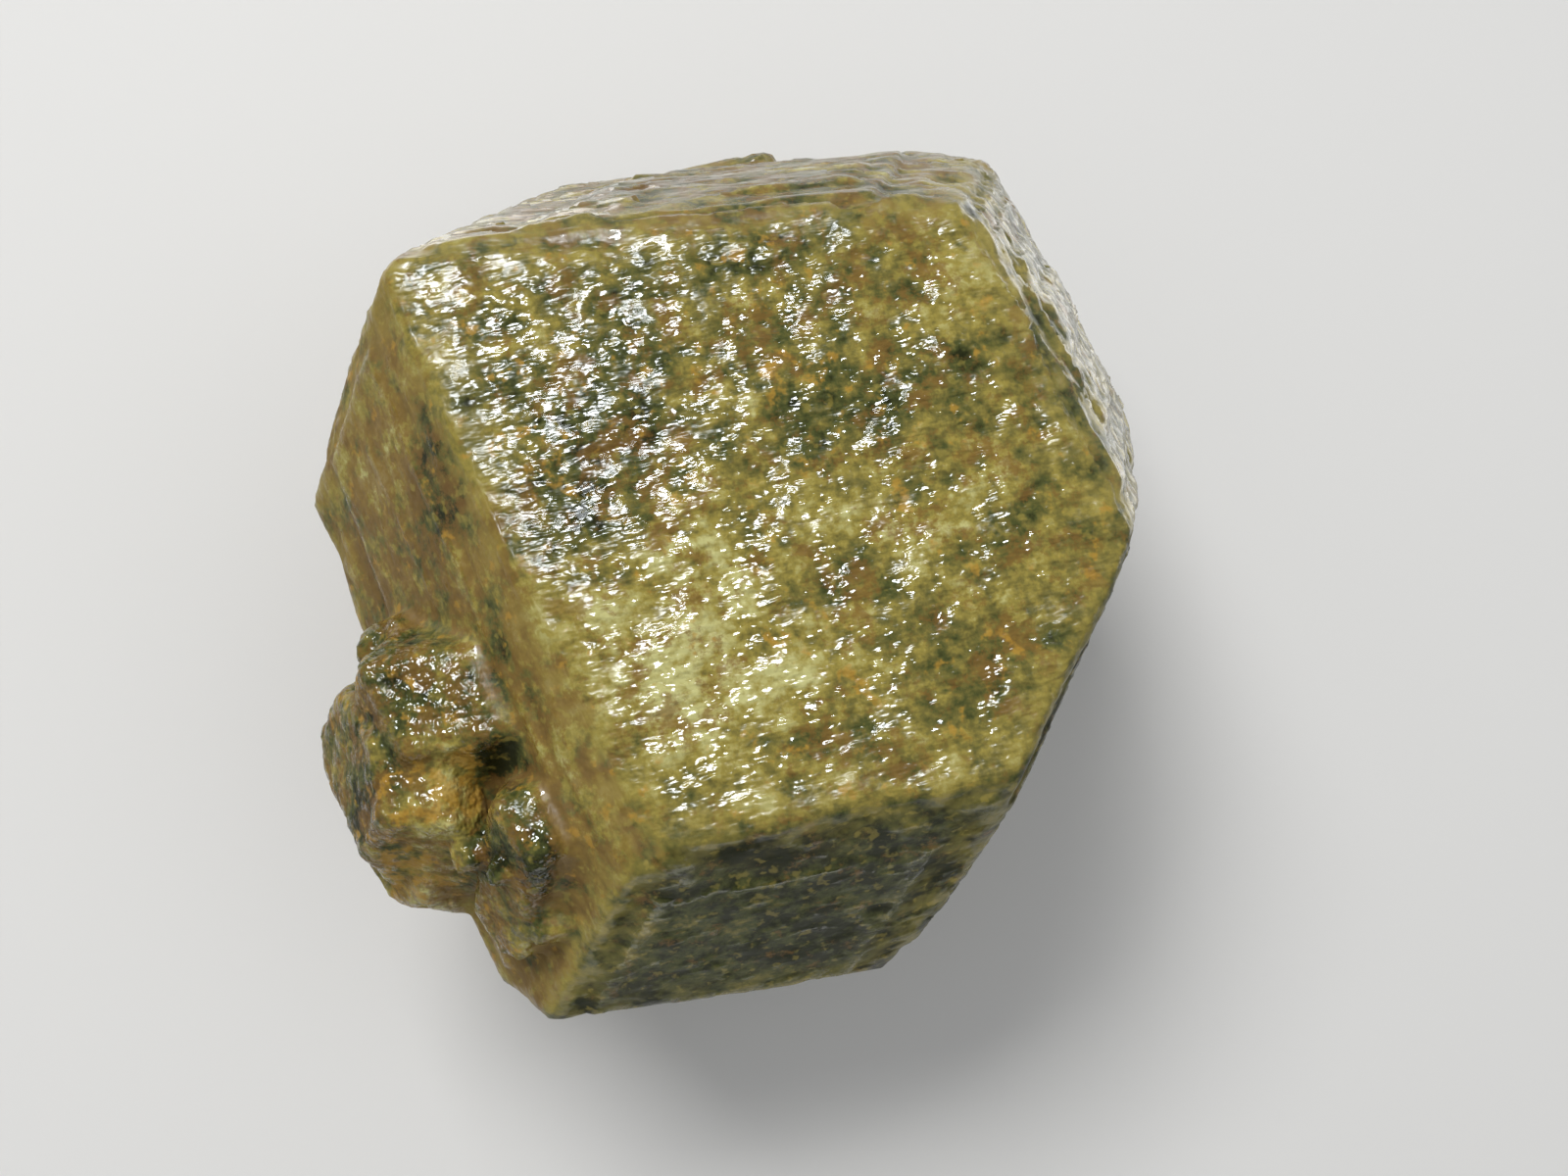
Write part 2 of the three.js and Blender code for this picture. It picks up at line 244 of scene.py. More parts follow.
@dataclass(frozen=True)
class Relief:
    """One layer of relief on all faces of one growth.

    Lengths are in millimetres. Length is the size of a feature along the grain, width its size across, and
    height how far it stands up. Ragged is how unevenly bands run, and depth how many sizes lumps have.
    """

    growth: Growth
    pattern: Pattern
    length: float
    width: float
    height: float
    ragged: float = 3
    depth: int = 1

    def texture(self) -> bpy.types.Texture:
        """The layer's texture, in units of one feature.

        Returns:
            The texture.
        """
        name = f"{self.growth.value}_{self.pattern.name.lower()}"
        texture = bpy.data.textures.new(name, self.pattern.value)
        if self.pattern is Pattern.LUMPS:
            texture.noise_scale = CLOUD_SCALE
            texture.noise_depth = self.depth
            texture.noise_basis = "IMPROVED_PERLIN"
            texture.contrast = CLOUD_CONTRAST
        elif self.pattern is Pattern.COBBLES:
            texture.noise_scale = 1
            texture.distance_metric = "DISTANCE_SQUARED"
            texture.use_color_ramp = True
            texture.color_ramp.elements[0].color = (1, 1, 1, 1)
            texture.color_ramp.elements[1].color = (0, 0, 0, 1)
        else:
            texture.wood_type = "BANDNOISE"
            texture.noise_basis_2 = "SAW"
            texture.noise_basis = "IMPROVED_PERLIN"
            texture.noise_scale = BAND_WAVES
            texture.turbulence = self.ragged
        return texture

    def place(self, grain: Matrix) -> Matrix:
        """Where the layer's texture lies on a face.

        Args:
            grain: the face's directions, as the rows of a matrix.

        Returns:
            The pose of one unit of the texture.
        """
        sizes = Vector((self.length, self.width, (self.length + self.width) / 2)) * MM
        if self.pattern is Pattern.BANDS:
            sizes /= BAND_REPEAT
            level_out = Matrix.Rotation(math.atan2(self.width, self.length), 3, grain[2])
            grain = Matrix([level_out @ row for row in grain])
        pose = grain.transposed().to_4x4() @ Matrix.Diagonal(sizes).to_4x4()
        pose.translation = MIDDLE
        return pose


RELIEFS = (
    Relief(Growth.COBBLED, Pattern.LUMPS, 5.2, 3.2, 0.4, depth=2),
    Relief(Growth.COBBLED, Pattern.COBBLES, 2.4, 1.5, 0.2),
    Relief(Growth.COBBLED, Pattern.LUMPS, 1.3, 0.8, 0.15),
    Relief(Growth.LEDGED, Pattern.BANDS, 16, 4.4, 0.6, ragged=8),
    Relief(Growth.LEDGED, Pattern.LUMPS, 5, 1.6, 0.24, depth=2),
    Relief(Growth.TERRACED, Pattern.BANDS, 10, 3, 0.5, ragged=5),
    Relief(Growth.TERRACED, Pattern.LUMPS, 3.4, 1.5, 0.35, depth=2),
    Relief(Growth.STREAKED, Pattern.LUMPS, 5, 1.8, 0.14, depth=2),
    Relief(Growth.STREAKED, Pattern.LUMPS, 1.4, 0.9, 0.08),
    Relief(Growth.WAVY, Pattern.BANDS, 8, 3.2, 0.08, ragged=10),
    Relief(Growth.WAVY, Pattern.LUMPS, 2.8, 1.5, 0.16, depth=2),
    Relief(Growth.KNOBBLY, Pattern.COBBLES, 2.2, 1.8, 0.36),
    Relief(Growth.KNOBBLY, Pattern.LUMPS, 1.4, 1.2, 0.2, depth=2),
)


@dataclass(frozen=True)
class Dressing:
    """What sets the colour and gloss of one growth apart.

    Tone is how pale it is, rust how brown, ochre how many ochre specks it has, film the weight of its glossy
    film, dull the roughness of the stone under the film, and ripples and kernels the strength of the fine
    ripples and of the fine grains.
    """

    tone: float = 0
    rust: float = 0
    ochre: float = 0
    film: float = 0
    dull: float = 0
    ripples: float = 0
    kernels: float = 0


DRESSINGS = {
    Growth.COBBLED: Dressing(film=0.05, ripples=1, kernels=0.2),
    Growth.LEDGED: Dressing(tone=-0.3, rust=0.7, ochre=-0.5, film=0.7, dull=0.05, ripples=0.1, kernels=0.1),
    Growth.TERRACED: Dressing(tone=-0.5, rust=-0.3, ochre=-0.8, film=1, dull=0.1, ripples=0.1, kernels=0.3),
    Growth.STREAKED: Dressing(tone=0.1, rust=1.3, dull=0.4, ripples=0.2, kernels=0.3),
    # the south faces' dark tone is partly their own green-black and partly painted shade, for the side turned
    # from the lights
    Growth.WAVY: Dressing(tone=-1.3, rust=-0.8, ochre=-1.2, dull=0.45, ripples=0.1, kernels=0.2),
    Growth.KNOBBLY: Dressing(tone=-0.5, rust=0.6, film=0.03, dull=0.1, ripples=0.4, kernels=1.6),
}


@dataclass(frozen=True)
class Patch:
    """A soft patch seen from above: its middle and half sizes in millimetres, and how strong it is."""

    x: float
    y: float
    length: float
    width: float
    strength: float

    def over(self, points: np.ndarray) -> np.ndarray:
        """How far the patch covers some points, from 0 to 1."""
        away = np.hypot((points[:, 0] - self.x) / self.length, (points[:, 1] - self.y) / self.width)
        return np.exp(-(away**2))


# The dark places on the west face: the notch beside the small crystals, darkened as painted shade over its
# own dark green, and two dark green streaks
WEST_STREAKS_AND_NOTCH_SHADE = (
    Patch(-18.8, -16.5, 1.6, 1.5, -2.5),
    Patch(-21.1, 1.5, 1.5, 4, -1.3),
    Patch(-18, -9, 0.9, 3, -1.3),
)

# What the patches on a face, or on the small crystals, add to one part of its dressing
PATCHES: dict[tuple[str, str], tuple[Patch, ...]] = {
    ("top", "tone"): (
        Patch(-7, -11, 11, 7, 1.1),
        Patch(-10, -16, 6, 4, 0.5),
        Patch(8, 3.5, 8, 3.5, -0.6),
        Patch(-13, 2, 8, 9, -0.9),
        Patch(4, -9, 3, 2.5, -0.7),
        Patch(9, -15.5, 5, 2.5, -0.2),
        Patch(3, -22.5, 9, 2, 0.35),
        Patch(5, 15, 7, 2, -0.5),
        Patch(13, 8, 4, 4, 0.4),
        Patch(-12, -3.5, 4, 3, -0.8),
        Patch(-13, -15, 2.5, 5, -0.7),
    ),
    ("top", "ochre"): (
        Patch(18, -10, 1.8, 1.2, 1),
        Patch(1.6, 5.7, 1.2, 2.4, 0.9),
        Patch(4.5, -17, 1.2, 2, 0.6),
    ),
    ("top", "dull"): (Patch(-10, 5, 12, 12, 0.06),),
    ("top", "ripples"): (
        Patch(8, 2, 11, 12, 0.35),
        Patch(-12, -3.5, 4, 3, 0.5),
        Patch(-17, 9, 5, 5, -0.2),
    ),
    (SMALL, "tone"): (
        Patch(-25, -11, 3, 3.4, -0.7),
        Patch(-22, -18, 3, 3, 1.5),
        # painted shade over the stone's own black-green: this patch and the one at (-19.2, -16.5) darken the
        # cliff and notch where the small crystals meet the large one
        Patch(-17.8, -17, 2, 1.6, -2.2),
        Patch(-16, -24, 3, 3.4, -1.6),
        Patch(-20.5, -22.5, 2, 3, -0.5),
        Patch(-26, -24, 3, 3, 1.6),
        Patch(-19.2, -16.5, 1.4, 1.3, -2),
        Patch(-28.5, -18, 1.6, 2, -1.2),
        Patch(-21.5, -22, 1.6, 1.4, -1),
    ),
    (SMALL, "ochre"): (
        Patch(-22.2, -18, 2.4, 2.6, 1.9),
        Patch(-28, -12.5, 0.9, 3, 0.9),
        Patch(-26.5, -17.5, 0.9, 2.6, 1.2),
        Patch(-21, -13.5, 1.6, 1.2, 0.6),
        Patch(-27, -23, 3, 3, 1.4),
    ),
    ("west_upper", "tone"): WEST_STREAKS_AND_NOTCH_SHADE,
    ("west_upper", "rust"): WEST_STREAKS_AND_NOTCH_SHADE,
    ("west_upper", "film"): (
        Patch(-15.4, -21.1, 1.1, 1.8, 0.9),
        Patch(-19, -12.6, 1.1, 1.8, 0.6),
    ),
}


class Measured:
    """The vertices of a mesh, set against the large crystal's faces."""

    def __init__(self, mesh: bpy.types.Mesh) -> None:
        """Measures a mesh.

        Args:
            mesh: the mesh, in the part's frame.
        """
        self.mesh = mesh
        self.points = (read_vectors(mesh, "co").astype(float) - np.array(MIDDLE)) / MM
        normals = np.array([face.normal() for face in FACES.values()])
        distances = np.array([face.distance for face in FACES.values()])
        self.over = self.points @ normals.T - distances

    def small(self) -> np.ndarray:
        """Finds the small crystals, which stand out over the large one's faces.

        Returns:
            How far each vertex belongs to them, from 0 to 1.
        """
        over = self.over.max(axis=1)
        towards = self.points @ np.array(direction_of(GROUP_AZIMUTH))
        group = ramp(over, *GROUP_RISES) * ramp(towards, *GROUP_STARTS)
        away = np.linalg.norm(self.points - np.array(LONE_MIDDLE), axis=1)
        lone = ramp(over, *LONE_RISES) * (1 - ramp(away, *LONE_ENDS))
        return np.maximum(group, lone)

    def faces(self) -> dict[str, np.ndarray]:
        """Tells the faces apart.

        Returns:
            How far each vertex belongs to each face, and to the small crystals, from 0 to 1.
        """
        small = self.small()
        near = np.exp((self.over - self.over.max(axis=1, keepdims=True)) / FACE_BLEND)
        near *= ((1 - small) / near.sum(axis=1))[:, None]
        return {**dict(zip(FACES, near.T)), SMALL: small}

    def patched(self, patches: tuple[Patch, ...]) -> np.ndarray:
        """The strength of some patches at each vertex."""
        return sum(patch.strength * patch.over(self.points) for patch in patches)

    def rim(self, width: float) -> np.ndarray:
        """How near each vertex is to an edge, from 0 past a border of some width, in millimetres, to 1."""
        ordered = np.sort(self.over, axis=1)
        return np.exp(-(((ordered[:, -1] - ordered[:, -2]) / width) ** 2)) * (1 - self.small())

    def crests(self, rounds: int, height: float) -> np.ndarray:
        """How far each vertex stands out of the surface round it.

        Args:
            rounds: how many times the surface is evened, which decides the size of what counts.
            height: what counts as fully out, in millimetres.

        Returns:
            From -1, a hollow, to 1, a crest.
        """
        mesh = self.mesh
        ends = np.empty(len(mesh.edges) * 2, np.int32)
        mesh.edges.foreach_get("vertices", ends)
        first, last = ends.reshape(-1, 2).T
        count = len(mesh.vertices)
        valence = np.bincount(ends, minlength=count)[:, None]
        even = self.points.copy()
        for _ in range(rounds):
            total = np.stack(
                [
                    np.bincount(first, even[last, axis], count) + np.bincount(last, even[first, axis], count)
                    for axis in range(3)
                ],
                axis=1,
            )
            even = (even + total / valence) / 2
        out = ((self.points - even) * self.normals()).sum(axis=1)
        return np.clip(out / height, -1, 1)

    def normals(self) -> np.ndarray:
        """The outward direction at each vertex, with a length of 1."""
        return read_vectors(self.mesh, "normal")

    def steep(self, upright: float, level: float) -> np.ndarray:
        """How steep each vertex is, from 0 over one upward share of its normal to 1 under another."""
        return 1 - ramp(self.normals()[:, 2], upright, level)


def select_only(piece: bpy.types.Object) -> None:
    """Makes one object the only selected one, and the active one.

    Args:
        piece: the object.
    """
    bpy.ops.object.select_all(action="DESELECT")
    piece.select_set(True)
    bpy.context.view_layer.objects.active = piece


def apply_modifier(piece: bpy.types.Object, kind: str, **settings: Any) -> None:
    """Adds a modifier to an object and applies it.

    Args:
        piece: the object.
        kind: the modifier's type.
        settings: its properties.
    """
    select_only(piece)
    bpy.ops.object.modifier_add(type=kind)
    modifier = piece.modifiers[-1]
    for name, value in settings.items():
        setattr(modifier, name, value)
    bpy.ops.object.modifier_apply(modifier=modifier.name)


def write_note(mesh: bpy.types.Mesh, name: str, values: np.ndarray) -> bpy.types.Attribute:
    """Writes one number for each vertex as an attribute.

    Args:
        mesh: the mesh.
        name: the attribute's name.
        values: the numbers.

    Returns:
        The attribute.
    """
    attribute = mesh.attributes.new(name, "FLOAT", "POINT")
    attribute.data.foreach_set("value", values.astype(np.float32))
    return attribute


@dataclass(frozen=True)
class Mottle:
    """Smooth noise, and the marks made from it.

    Scale is its features to a unit of length, detail how many finer sizes are added and rough how strong
    those are. Marks start where the noise passes low and are full at high, and share is how strong they are.
    """

    scale: float
    detail: float = 2
    rough: float = 0.5
    low: float = 0
    high: float = 1
    share: float = 1


class Socket:
    """A shader value that Python's operators work on, each by adding a Math node."""

    def __init__(self, bench: "Bench", output: bpy.types.NodeSocket) -> None:
        """Wraps an output of a node that the bench added."""
        self.bench = bench
        self.output = output

    def _math(self, operation: str, *values: Any) -> "Socket":
        """The result of a Math node."""
        return self.bench.value("ShaderNodeMath", {"operation": operation}, dict(enumerate(values)))

    def __add__(self, other: Any) -> "Socket":
        """Sum."""
        return self._math("ADD", self, other)

    def __radd__(self, other: Any) -> "Socket":
        """Sum, from the right."""
        return self._math("ADD", other, self)

    def __sub__(self, other: Any) -> "Socket":
        """Difference."""
        return self._math("SUBTRACT", self, other)

    def __rsub__(self, other: Any) -> "Socket":
        """Difference, from the right."""
        return self._math("SUBTRACT", other, self)

    def __mul__(self, other: Any) -> "Socket":
        """Product."""
        return self._math("MULTIPLY", self, other)

    def __rmul__(self, other: Any) -> "Socket":
        """Product, from the right."""
        return self._math("MULTIPLY", other, self)

    def eased(self, low: float, high: float) -> "Socket":
        """The value eased from 0 at low to 1 at high."""
        inputs = {"Value": self, "From Min": low, "From Max": high}
        return self.bench.value("ShaderNodeMapRange", {"interpolation_type": "SMOOTHSTEP"}, inputs)

    def marked(self, mottle: Mottle) -> "Socket":
        """The marks that the value makes, between a mottle's limits."""
        return self.eased(mottle.low, mottle.high) * mottle.share


class Bench:
    """Adds nodes to one material."""

    def __init__(self, name: str) -> None:
        """Starts a material.

        Args:
            name: its name.
        """
        self.material = bpy.data.materials.new(name)
        self.material.use_nodes = True
        self.tree = self.material.node_tree
        self.tree.nodes.clear()

    def add(self, kind: str, settings: dict[str, Any], inputs: dict[Any, Any]) -> bpy.types.Node:
        """Adds a node.

        Args:
            kind: the node's type.
            settings: its properties, set first. The stops of a ramp are pairs of place and colour.
            inputs: what its sockets hold or are linked to, by name or number.

        Returns:
            The node.
        """
        node = self.tree.nodes.new(kind)
        for name, value in settings.items():
            if name == "stops":
                self._set_stops(node.color_ramp, value)
            else:
                setattr(node, name, value)
        for name, value in inputs.items():
            source = value.output if isinstance(value, Socket) else value
            if isinstance(source, bpy.types.NodeSocket):
                self.tree.links.new(source, node.inputs[name])
            else:
                node.inputs[name].default_value = source
        return node

    @staticmethod
    def _set_stops(blend: bpy.types.ColorRamp, stops: tuple[tuple[float, Colour], ...]) -> None:
        """Gives a ramp its stops.

        Args:
            blend: the ramp.
            stops: pairs of place and colour, in order.
        """
        while len(blend.elements) < len(stops):
            blend.elements.new(1)
        for element, (place, colour) in zip(blend.elements, stops):
            element.position = place
            element.color = colour

    def value(self, kind: str, settings: dict[str, Any], inputs: dict[Any, Any]) -> Socket:
        """A new node's first output, as a value for Python's operators."""
        return Socket(self, self.add(kind, settings, inputs).outputs[0])

    def attribute(self, name: str) -> Socket:
        """An attribute of the mesh, as a value."""
        node = self.add("ShaderNodeAttribute", {"attribute_name": name}, {})
        return Socket(self, node.outputs["Fac"])

    def along(self, name: str) -> bpy.types.NodeSocket:
        """An attribute of the mesh, as coordinates."""
        node = self.add("ShaderNodeAttribute", {"attribute_name": name}, {})
        return node.outputs["Vector"]

    def place(self) -> bpy.types.NodeSocket:
        """The piece's own coordinates, in metres."""
        return self.add("ShaderNodeTexCoord", {}, {}).outputs["Object"]

    def stretched(
        self, place: bpy.types.NodeSocket, scale: tuple[float, float, float]
    ) -> bpy.types.NodeSocket:
        """Coordinates multiplied axis by axis."""
        node = self.add("ShaderNodeVectorMath", {"operation": "MULTIPLY"}, {0: place, 1: scale})
        return node.outputs[0]

    def noise(self, place: bpy.types.NodeSocket, mottle: Mottle) -> Socket:
        """Smooth noise, about 0.5."""
        inputs = {"Vector": place, "Scale": mottle.scale, "Detail": mottle.detail, "Roughness": mottle.rough}
        return self.value("ShaderNodeTexNoise", {}, inputs)

    def mixed(self, share: Any, under: Any, over: Any) -> bpy.types.NodeSocket:
        """Two colours mixed.

        Args:
            share: how much of the second colour, from 0 to 1.
            under: the first colour.
            over: the second colour.

        Returns:
            The mixed colour.
        """
        inputs = {MIX_SHARE: share, MIX_UNDER: under, MIX_OVER: over}
        node = self.add("ShaderNodeMix", {"data_type": "RGBA"}, inputs)
        return node.outputs[MIXED]

    def finished(self, finish: dict[str, Any]) -> bpy.types.Material:
        """Ends the material with its surface.

        Args:
            finish: what the surface shader's sockets hold or are linked to, by name.

        Returns:
            The material.
        """
        surface = self.add("ShaderNodeBsdfPrincipled", {}, finish)
        self.add("ShaderNodeOutputMaterial", {}, {"Surface": surface.outputs[0]})
        return self.material


@dataclass(frozen=True)
class GarnetFinish:
    """Olive, brown and green-black garnet, glossy as when rinsed. Lengths are in millimetres.

    Shade_places are where the five shades lie between the darkest and the palest. Each pull is how far one of
    the mesh's notes moves the shade, the marks or the roughness, and polish is the least roughness.
    Crests_clean are the crests over which dullness fades out. Ripple_length, ripple_width and kernel_size are
    the sizes of the finest relief, and fine_height is how far it stands up.
    """

    black: Colour = paint(36, 39, 14)
    green: Colour = paint(76, 80, 40)
    olive: Colour = paint(113, 105, 52)
    gold: Colour = paint(150, 136, 64)
    pale: Colour = paint(190, 186, 124)
    brown: Colour = paint(122, 90, 42)
    ochre: Colour = paint(172, 132, 50)
    shade_places: tuple[float, ...] = (0.33, 0.42, 0.49, 0.56, 0.66)
    patches: Mottle = Mottle(0.12, share=0.3)
    spots: Mottle = Mottle(0.42, 3, 0.6, share=0.4)
    grains: Mottle = Mottle(1.4, 3, 0.65, share=0.3)
    stains: Mottle = Mottle(0.4, 5, 0.75, 0.5, 0.62, 0.7)
    specks: Mottle = Mottle(1.2, 2, 0.5, 0.58, 0.7, 0.5)
    rim_marks: Mottle = Mottle(0.42, 3, 0.6, 0.35, 0.6, 0.5)
    veins: Mottle = Mottle(0.7, 3, 0.6, 0.6, 0.72, 0.7)
    scuffs: Mottle = Mottle(0.7, 3, 0.5, 0.45, 0.8, 0.3)
    ripples: Mottle = Mottle(1, 1, 0.4)
    tone_pull: float = 0.1
    # painted light and shade: the measured crest height makes crests paler and hollows darker
    crest_shade_pull: float = 0.05
    rust_pull: float = 0.08
    ochre_pull: float = 0.12
    rim_pull: float = 0.2
    crests_clean: tuple[float, float] = (0.15, 0.5)
    ripple_length: float = 0.7
    ripple_width: float = 0.44
    kernel_size: float = 0.6
    fine_height: float = 0.22
    polish: float = 0.1
    stone_ior: float = 1.26
    film_roughness: float = 0.05
    film_ior: float = 1.5

    def shade(self, bench: Bench, place: bpy.types.NodeSocket) -> Socket:
        """How pale the stone is, with painted shade in its hollows and painted light on its crests.

        Args:
            bench: the material's nodes.
            place: the coordinates, in millimetres.

        Returns:
            The place along the stone's five shades, about 0.5.
        """
        patches, spots, grains = (
            bench.noise(place, mottle) * mottle.share for mottle in (self.patches, self.spots, self.grains)
        )
        # painted shade in the hollows and painted light on the crests
        crests = bench.attribute("crest") * self.crest_shade_pull
        return patches + spots + grains + crests + bench.attribute("tone") * self.tone_pull

    def colours(self, bench: Bench, place: bpy.types.NodeSocket) -> bpy.types.NodeSocket:
        """The colour of the surface.

        Args:
            bench: the material's nodes.
            place: the coordinates, in millimetres.

        Returns:
            The colour.
        """
        shades = (self.black, self.green, self.olive, self.gold, self.pale)
        stops = tuple(zip(self.shade_places, shades))
        blend = bench.add("ShaderNodeValToRGB", {"stops": stops}, {"Fac": self.shade(bench, place)})
        stains = bench.noise(place, self.stains) + bench.attribute("rust") * self.rust_pull
        colour = bench.mixed(stains.marked(self.stains), blend.outputs[0], self.brown)
        specks = bench.noise(place, self.specks).marked(self.specks)
        rim = bench.attribute("rim") * bench.noise(place, self.rim_marks).marked(self.rim_marks)
        colour = bench.mixed(specks + rim, colour, self.gold)
        veins = bench.noise(place, self.veins) + bench.attribute("ochre") * self.ochre_pull
        return bench.mixed(veins.marked(self.veins), colour, self.ochre)

    def fine_relief(self, bench: Bench, place: bpy.types.NodeSocket) -> bpy.types.NodeSocket:
        """The ripples and grains that are too fine for the mesh.

        Args:
            bench: the material's nodes.
            place: the coordinates, in millimetres.

        Returns:
            The bent normal.
        """
        squeeze = (1 / self.ripple_length, 1 / self.ripple_width, 1 / self.ripple_width)
        ripples = bench.noise(bench.stretched(bench.along("grain"), squeeze), self.ripples)
        kernels = bench.noise(place, Mottle(1 / self.kernel_size, detail=1))
        height = ripples * bench.attribute("ripples") + kernels * bench.attribute("kernels")
        relief = {"Strength": 1, "Distance": self.fine_height * MM, "Height": height}
        return bench.add("ShaderNodeBump", {}, relief).outputs["Normal"]

    def material(self) -> bpy.types.Material:
        """The finish as a material.

        Returns:
            The material.
        """
        bench = Bench("garnet")
        place = bench.stretched(bench.place(), (1 / MM,) * 3)
        scuffs = bench.noise(bench.along("grain"), self.scuffs).marked(self.scuffs)
        worn = scuffs + bench.attribute("rim") * self.rim_pull
        dull = bench.attribute("dull") * (1 - bench.attribute("crest").eased(*self.crests_clean))
        return bench.finished(
            {
                "Base Color": self.colours(bench, place),
                "Roughness": worn + dull + self.polish,
                "IOR": self.stone_ior,
                "Coat Weight": bench.attribute("film"),
                "Coat Roughness": self.film_roughness,
                "Coat IOR": self.film_ior,
                "Normal": self.fine_relief(bench, place),
            }
        )


@dataclass
class GarnetCrystal:
    """The crystal and its small crystals, as one piece. Lengths are in millimetres.

    Joined is how near corners of the solid's loose triangles are taken as one. Fineness is the size of the
    mesh's faces, evened and evened_small how often the surface is evened before its relief is raised, and
    evening how far each time. Sunk is the share of each relief's height that lies under the face, and border
    the width of the worn border of each face. Crest_rounds and crest_height are what the crests are measured
    with. Hollow_film is the share of the glossy film that stays in hollows, and film_crests the crests over
    which it fills out. Steep_dull is how much rougher the steep sides of the small crystals are, and
    steep_span the upward shares of the normal between which that fades. The grain's coordinates are squeezed
    lengthwise, and grain_gap sets those of the faces apart.
    """

    joined: float = 0.0005
    fineness: float = 0.32
    evened: int = 8
    evened_small: int = 2
    evening: float = 0.5
    sunk: float = 0.6
    most_triangles: int = 196_000
    border: float = 2.6
    crest_rounds: int = 12
    crest_height: float = 0.14
    hollow_film: float = 0.3
    film_crests: tuple[float, float] = (-0.3, 0.3)
    steep_dull: float = 0.5
    steep_span: tuple[float, float] = (0.35, 0.8)
    squeeze: float = 0.65
    squeeze_streaked: float = 0.4
    grain_gap: float = 37
    finish: GarnetFinish = field(default_factory=GarnetFinish)

    def copy_of_solid(self, solid: bpy.types.Object) -> bpy.types.Object:
        """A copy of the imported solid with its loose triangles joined.

        Args:
            solid: the node's object, which is left alone.

        Returns:
            The copy.
        """
        piece = bpy.data.objects.new("garnet", solid.data.copy())
        bpy.context.scene.collection.objects.link(piece)
        select_only(piece)
        bpy.ops.object.mode_set(mode="EDIT")
        bpy.ops.mesh.select_all(action="SELECT")
        bpy.ops.mesh.remove_doubles(threshold=self.joined * MM)
        bpy.ops.object.mode_set(mode="OBJECT")
        piece.data.materials.clear()
        return piece

    def refine(self, piece: bpy.types.Object) -> None:
        """Gives the copy a fine mesh, marks the crystal's faces on it, and rounds its edges as wear does.

        Args:
            piece: the copy.
        """
        apply_modifier(piece, "REMESH", mode="VOXEL", voxel_size=self.fineness * MM)
        self.mark(piece, Measured(piece.data).faces())
        for rounds, reverse in ((self.evened, True), (self.evened_small, False)):
            apply_modifier(
                piece,
                "SMOOTH",
                factor=self.evening,
                iterations=rounds,
                vertex_group=SMALL,
                invert_vertex_group=reverse,
            )

    def mark(self, piece: bpy.types.Object, weights: dict[str, np.ndarray]) -> None:
        """Gives a piece a vertex group for each set of weights.

        Args:
            piece: the piece.
            weights: the vertices' weights, by the group's name.
        """
        select_only(piece)
        for name, values in weights.items():
            piece.data.attributes.active = write_note(piece.data, name, values)
            bpy.ops.geometry.attribute_convert(mode="VERTEX_GROUP")

    def raise_relief(self, piece: bpy.types.Object) -> None:
        """Raises each layer of relief on the faces that it is for.

        Args:
            piece: the piece, with a vertex group for each face.
        """
        for relief in RELIEFS:
            texture = relief.texture()
            if relief.growth is Growth.KNOBBLY:
                self.raise_layer(piece, relief, texture, FACES["top"].grain(), SMALL)
                continue
            for name, face in FACES.items():
                if face.growth is relief.growth:
                    self.raise_layer(piece, relief, texture, face.grain(), name)

    def raise_layer(
        self, piece: bpy.types.Object, relief: Relief, texture: bpy.types.Texture, grain: Matrix, group: str
    ) -> None:
        """Raises one layer of relief on one vertex group.

        Args:
            piece: the piece.
            relief: the layer.
            texture: its texture.
            grain: the directions that it lies along, as the rows of a matrix.
            group: the vertex group.
        """
        bpy.ops.object.empty_add()
        anchor = bpy.context.object
        anchor.matrix_world = relief.place(grain)
        bpy.context.view_layer.update()
        apply_modifier(
            piece,
            "DISPLACE",
            texture=texture,
            texture_coords="OBJECT",
            texture_coords_object=anchor,
            strength=relief.height * MM,
            mid_level=self.sunk,
            vertex_group=group,
        )
        bpy.data.objects.remove(anchor)

    def trim(self, piece: bpy.types.Object, low: Vector, high: Vector) -> None:
        """Leaves out the triangles that flat spots don't need, and keeps the piece in the solid's box.

        Args:
            piece: the piece.
            low: the lowest corner of the box.
            high: the highest corner of the box.
        """
        triangles = sum(len(face.vertices) - 2 for face in piece.data.polygons)
        share = min(1, self.most_triangles / triangles)
        apply_modifier(piece, "DECIMATE", ratio=share, use_collapse_triangulate=True)
        held = np.clip(read_vectors(piece.data, "co"), np.array(low), np.array(high))
        piece.data.vertices.foreach_set("co", held.astype(np.float32).ravel())
        piece.vertex_groups.clear()

    def note(self, piece: bpy.types.Object) -> None:
        """Notes on the mesh what the finish reads: crests, borders, each growth's dressing, and the grain.

        Args:
            piece: the piece, at its final shape.
        """
        measured = Measured(piece.data)
        faces = measured.faces()
        grown = {growth: 0 for growth in Growth}
        for name, face in FACES.items():
            grown[face.growth] += faces[name]
        grown[Growth.KNOBBLY] = faces[SMALL]
        notes = {}
        for trait in fields(Dressing):
            shares = [getattr(DRESSINGS[growth], trait.name) * grown[growth] for growth in Growth]
            notes[trait.name] = sum(shares)
        for (name, part), patches in PATCHES.items():
            notes[part] += measured.patched(patches) * faces[name]
        notes["crest"] = measured.crests(self.crest_rounds, self.crest_height)
        notes["rim"] = measured.rim(self.border)
        filled = ramp(notes["crest"], *self.film_crests)
        notes["film"] *= self.hollow_film + (1 - self.hollow_film) * filled
        notes["dull"] += self.steep_dull * measured.steep(*self.steep_span) * faces[SMALL]
        for name, values in notes.items():
            write_note(piece.data, name, values)
        self.note_grain(piece.data, measured)

